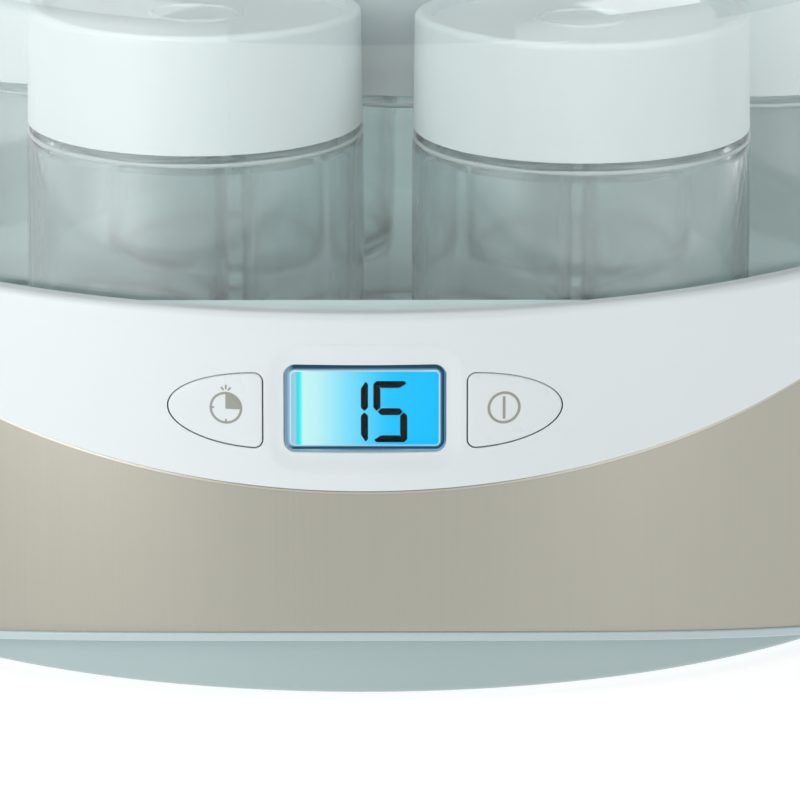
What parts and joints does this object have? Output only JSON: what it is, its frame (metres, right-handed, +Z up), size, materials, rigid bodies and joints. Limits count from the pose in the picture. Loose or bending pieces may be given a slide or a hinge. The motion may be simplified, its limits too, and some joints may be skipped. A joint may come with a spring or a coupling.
{
  "type": "yogurt maker",
  "caption": "Round electric yogurt maker: white body with a champagne metal band, display and two buttons, warming lidded glass jars under a clear lift-off cover.",
  "frame": {"origin": "middle of the round body, on the surface it stands on", "axes": "+Z up, the control panel faces -Y, +X to the right of someone facing the panel"},
  "size_m": [0.27, 0.27, 0.1584],
  "materials": {
    "housing_white": "smooth glossy moulding",
    "tub_grey": "satin moulding, pale grey-green",
    "base_grey": "satin moulding, pale grey",
    "band_metal": "champagne tinted, finely brushed",
    "foot_rubber": "matt",
    "screw_steel": "zinc plated",
    "spreader_aluminium": "rolled sheet",
    "heater_film": "polyimide film",
    "insulation_felt": "needled felt",
    "sensor_epoxy": "epoxy bead",
    "fuse_metal": "drawn can",
    "window_clear": "clear, bevelled",
    "lcd_glass": "display glass lit blue from behind",
    "light_block": "diffusing",
    "board_green": "solder mask",
    "switch_black": "moulded",
    "plunger_white": "moulded",
    "transformer_core": "varnished laminations",
    "relay_case": "moulded",
    "capacitor_sleeve": "shrink sleeve",
    "terminal_grey": "moulded",
    "wire_insulation": "silicone",
    "ribbon_grey": "flat cable",
    "gland_rubber": "light grey",
    "cover_clear": "clear, polished",
    "jar_glass": "pressed glass, slightly green",
    "lid_white": "smooth moulding",
    "button_white": "smooth moulding"
  },
  "bodies": {
    "base_unit": {"base_tray": "base_grey", "rubber_feet": "foot_rubber", "base_screws": "screw_steel", "housing": "housing_white", "trim_band": "band_metal", "jar_tub": "tub_grey", "heater_plate": "spreader_aluminium", "heating_film": "heater_film", "heater_insulation": "insulation_felt", "thermistor": "sensor_epoxy", "thermal_fuse": "fuse_metal", "display_window": "window_clear", "lcd_panel": "lcd_glass", "lcd_backlight": "light_block", "control_board": "board_green", "board_screws": "screw_steel", "buzzer": "switch_black", "time_switch": "switch_black", "power_switch": "switch_black", "power_board": "board_green", "power_board_screws": "screw_steel", "transformer": "transformer_core", "relay": "relay_case", "filter_capacitor": "capacitor_sleeve", "terminal_block": "terminal_grey", "heater_leads": "wire_insulation", "board_ribbon": "ribbon_grey", "cord_gland": "gland_rubber"},
    "cover": {"cover": "cover_clear"},
    "time_button": {"time_button": "button_white"},
    "power_button": {"power_button": "button_white"},
    "time_plunger": {"time_plunger": "plunger_white"},
    "power_plunger": {"power_plunger": "plunger_white"},
    "jar_1": {"jar_1": "jar_glass"},
    "jar_2": {"jar_2": "jar_glass"},
    "jar_3": {"jar_3": "jar_glass"},
    "jar_4": {"jar_4": "jar_glass"},
    "jar_5": {"jar_5": "jar_glass"},
    "jar_6": {"jar_6": "jar_glass"},
    "jar_7": {"jar_7": "jar_glass"},
    "lid_1": {"lid_1": "lid_white"},
    "lid_2": {"lid_2": "lid_white"},
    "lid_3": {"lid_3": "lid_white"},
    "lid_4": {"lid_4": "lid_white"},
    "lid_5": {"lid_5": "lid_white"},
    "lid_6": {"lid_6": "lid_white"},
    "lid_7": {"lid_7": "lid_white"}
  },
  "joints": [
    {"name": "cover_lift", "type": "slide", "parent": "base_unit", "child": "cover", "axis": [0, 0, 1], "range_m": [0, 0.1]},
    {"name": "time_button_press", "type": "slide", "parent": "base_unit", "child": "time_button", "axis": [0, 1, 0], "range_m": [0, 0.0005], "stiffness_N_per_m": 2500},
    {"name": "time_plunger_press", "type": "slide", "parent": "base_unit", "child": "time_plunger", "axis": [0, 1, 0], "range_m": [0, 0.0006]},
    {"name": "power_button_press", "type": "slide", "parent": "base_unit", "child": "power_button", "axis": [0, 1, 0], "range_m": [0, 0.0005], "stiffness_N_per_m": 2500},
    {"name": "power_plunger_press", "type": "slide", "parent": "base_unit", "child": "power_plunger", "axis": [0, 1, 0], "range_m": [0, 0.0006]},
    {"name": "jar_1_lift", "type": "slide", "parent": "base_unit", "child": "jar_1", "axis": [0, 0, 1], "range_m": [0, 0.012]},
    {"name": "lid_1_twist", "type": "hinge", "parent": "jar_1", "child": "lid_1", "pos_m": [-0.0354, -0.067, 0.1298], "axis": [0, 0, 1], "range_deg": [0, 45]},
    {"name": "jar_2_lift", "type": "slide", "parent": "base_unit", "child": "jar_2", "axis": [0, 0, 1], "range_m": [0, 0.012]},
    {"name": "lid_2_twist", "type": "hinge", "parent": "jar_2", "child": "lid_2", "pos_m": [0.0451, -0.0737, 0.1298], "axis": [0, 0, 1], "range_deg": [0, 45]},
    {"name": "jar_3_lift", "type": "slide", "parent": "base_unit", "child": "jar_3", "axis": [0, 0, 1], "range_m": [0, 0.012]},
    {"name": "lid_3_twist", "type": "hinge", "parent": "jar_3", "child": "lid_3", "pos_m": [-0.064, -0.001, 0.1298], "axis": [0, 0, 1], "range_deg": [0, 45]},
    {"name": "jar_4_lift", "type": "slide", "parent": "base_unit", "child": "jar_4", "axis": [0, 0, 1], "range_m": [0, 0.012]},
    {"name": "lid_4_twist", "type": "hinge", "parent": "jar_4", "child": "lid_4", "pos_m": [0.0096, -0.0121, 0.1298], "axis": [0, 0, 1], "range_deg": [0, 45]},
    {"name": "jar_5_lift", "type": "slide", "parent": "base_unit", "child": "jar_5", "axis": [0, 0, 1], "range_m": [0, 0.012]},
    {"name": "lid_5_twist", "type": "hinge", "parent": "jar_5", "child": "lid_5", "pos_m": [0.082, -0.0127, 0.1298], "axis": [0, 0, 1], "range_deg": [0, 45]},
    {"name": "jar_6_lift", "type": "slide", "parent": "base_unit", "child": "jar_6", "axis": [0, 0, 1], "range_m": [0, 0.012]},
    {"name": "lid_6_twist", "type": "hinge", "parent": "jar_6", "child": "lid_6", "pos_m": [-0.029, 0.062, 0.1298], "axis": [0, 0, 1], "range_deg": [0, 45]},
    {"name": "jar_7_lift", "type": "slide", "parent": "base_unit", "child": "jar_7", "axis": [0, 0, 1], "range_m": [0, 0.012]},
    {"name": "lid_7_twist", "type": "hinge", "parent": "jar_7", "child": "lid_7", "pos_m": [0.047, 0.06, 0.1298], "axis": [0, 0, 1], "range_deg": [0, 45]}
  ],
  "couplings": [
    {"joint": "time_plunger_press", "follows": "time_button_press", "ratio": 1},
    {"joint": "power_plunger_press", "follows": "power_button_press", "ratio": 1}
  ]
}
